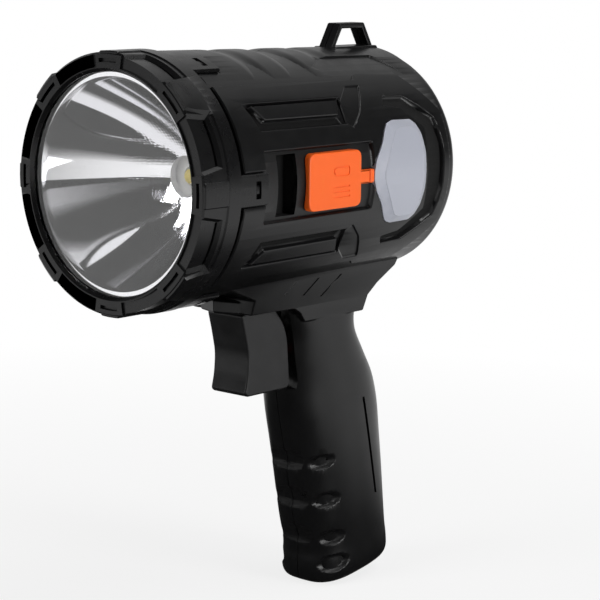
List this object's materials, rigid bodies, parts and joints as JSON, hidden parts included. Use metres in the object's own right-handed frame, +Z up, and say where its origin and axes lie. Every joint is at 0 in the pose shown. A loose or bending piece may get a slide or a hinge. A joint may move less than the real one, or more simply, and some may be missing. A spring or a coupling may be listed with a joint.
{
  "type": "handheld searchlight",
  "caption": "Pistol-grip searchlight with a round reflector head, side lamp, covered charging port, squeeze trigger and lanyard loop.",
  "frame": {"origin": "centre of the front lens's outer face, on the beam's axis", "axes": "-Y along the beam, +Z up from the grip to the barrel, +X towards the side with the charging flap and the side lamp, which is the holder's left"},
  "size_m": [0.0938, 0.1476, 0.2208],
  "materials": {
    "black_abs": "black moulded ABS, satin",
    "bezel_abs": "black moulded ABS, a little glossier than the body",
    "trigger_abs": "black moulded ABS, satin",
    "clear_lens": "clear polished lens",
    "seal_rubber": "dark grey silicone",
    "vapour_metal": "mirror-bright vacuum-metallised reflector",
    "white_nylon": "white moulded nylon",
    "phosphor": "yellow phosphor under clear resin",
    "metal_core_board": "white solder mask on an aluminium board",
    "aluminium": "as-machined",
    "plated_steel": "bright zinc or nickel plate",
    "spring_steel": "drawn wire",
    "switch_plastic": "black moulded nylon",
    "plunger_plastic": "red moulded nylon",
    "circuit_board": "green solder mask",
    "orange_rubber": "soft orange rubber, satin",
    "lamp_diffuser": "frosted pale grey diffuser",
    "cell_wrap": "shrink-wrapped can",
    "lead_red": "red wire insulation",
    "lead_black": "black wire insulation"
  },
  "bodies": {
    "housing": {"left_shell": "black_abs", "right_shell": "black_abs", "bezel": "bezel_abs", "front_lens": "clear_lens", "lens_seal": "seal_rubber", "reflector": "vapour_metal", "led_spacer": "white_nylon", "led_emitter": "phosphor", "led_board": "metal_core_board", "heat_sink": "aluminium", "heat_sink_screw_1": "plated_steel", "heat_sink_screw_2": "plated_steel", "trigger_pin": "plated_steel", "trigger_spring": "spring_steel", "switch_body": "switch_plastic", "main_board": "circuit_board", "board_screw_1": "plated_steel", "board_screw_2": "plated_steel", "usb_socket": "plated_steel", "usb_flap_anchor": "orange_rubber", "lamp_lens": "lamp_diffuser", "lamp_board": "metal_core_board", "lamp_cob": "phosphor", "lamp_board_screw_1": "plated_steel", "lamp_board_screw_2": "plated_steel", "battery_cell": "cell_wrap", "battery_contact_top": "plated_steel", "battery_contact_bottom": "plated_steel", "battery_lead_plus": "lead_red", "battery_lead_minus": "lead_black", "beam_lead": "lead_red", "switch_lead": "lead_black", "lamp_lead": "lead_red", "housing_screw_1": "plated_steel", "housing_screw_2": "plated_steel", "housing_screw_3": "plated_steel", "housing_screw_4": "plated_steel", "housing_screw_5": "plated_steel", "housing_screw_6": "plated_steel"},
    "trigger": {"trigger": "trigger_abs"},
    "plunger": {"switch_plunger": "plunger_plastic"},
    "flap": {"usb_flap": "orange_rubber"}
  },
  "joints": [
    {"name": "trigger_pull", "type": "hinge", "parent": "housing", "child": "trigger", "pos_m": [0, 0.0645, -0.0465], "axis": [1, 0, 0], "range_deg": [0, 5.1], "stiffness_Nm_per_rad": 0.6, "springref_deg": -6.88, "deforming": ["trigger_spring"]},
    {"name": "plunger_slide", "type": "slide", "parent": "housing", "child": "plunger", "axis": [0, 1, 0], "range_m": [0, 0.0023]},
    {"name": "flap_hinge", "type": "hinge", "parent": "housing", "child": "flap", "pos_m": [0.0452, 0.0877, 0], "axis": [0, 0, 1], "range_deg": [0, 120]}
  ],
  "couplings": [
    {"joint": "plunger_slide", "follows": "trigger_pull", "m_per_rad": 0.025}
  ]
}
